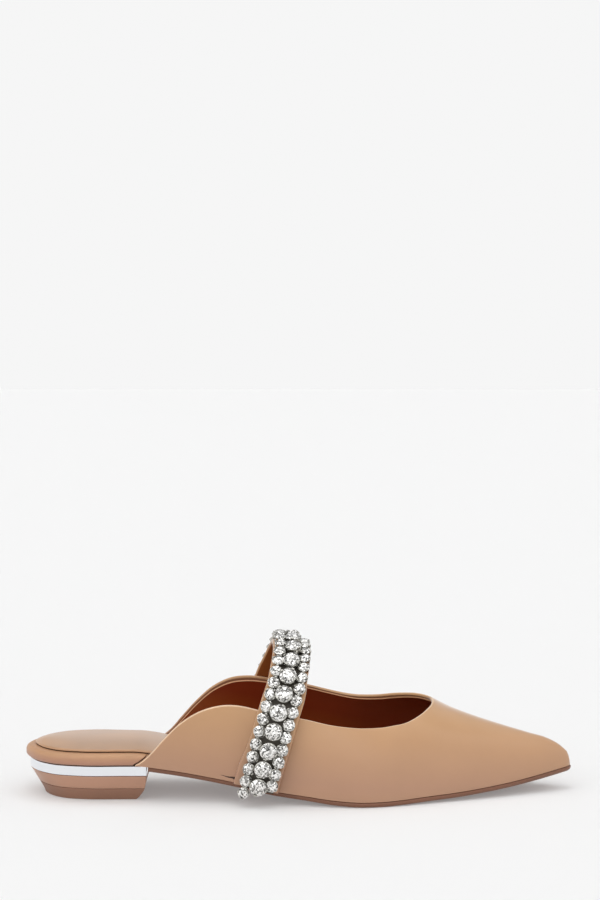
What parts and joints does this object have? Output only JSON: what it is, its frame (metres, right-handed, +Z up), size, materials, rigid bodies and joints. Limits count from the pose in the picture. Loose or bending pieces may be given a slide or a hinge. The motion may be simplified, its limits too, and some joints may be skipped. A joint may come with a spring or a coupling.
{
  "type": "mule shoe",
  "caption": "Pointed flat leather mule for the right foot: open back, scooped collar, crystal-set instep strap, low stacked heel with a polished band.",
  "frame": {"origin": "on the floor, under the middle of the bounding box", "axes": "+X towards the toe, -Y towards the outer side of the right foot, +Z up"},
  "size_m": [0.2574, 0.08, 0.0759],
  "materials": {
    "sole_leather": "smooth brown sole leather, satin edge",
    "insole_leather": "smooth tan leather wrapped over board",
    "sock_leather": "soft tan leather, padded, satin",
    "upper_leather": "smooth tan calf leather, satin, dark brown leather lining",
    "heel_chrome": "polished",
    "heel_leather": "smooth tan leather cover",
    "top_piece_rubber": "brown, matt",
    "strap_leather": "smooth tan leather, folded edges",
    "crystal": "clear cut glass stones over foil",
    "lining_leather": "dark brown lining leather, satin",
    "setting_metal": "silvery claw cups, slightly dulled"
  },
  "bodies": {
    "root": {"outsole": "sole_leather", "insole": "insole_leather", "sock": "sock_leather", "upper": "upper_leather", "heel_band": "heel_chrome", "heel_block": "heel_leather", "top_piece": "top_piece_rubber", "strap": "strap_leather", "crystal_trim": "crystal"}
  },
  "joints": []
}
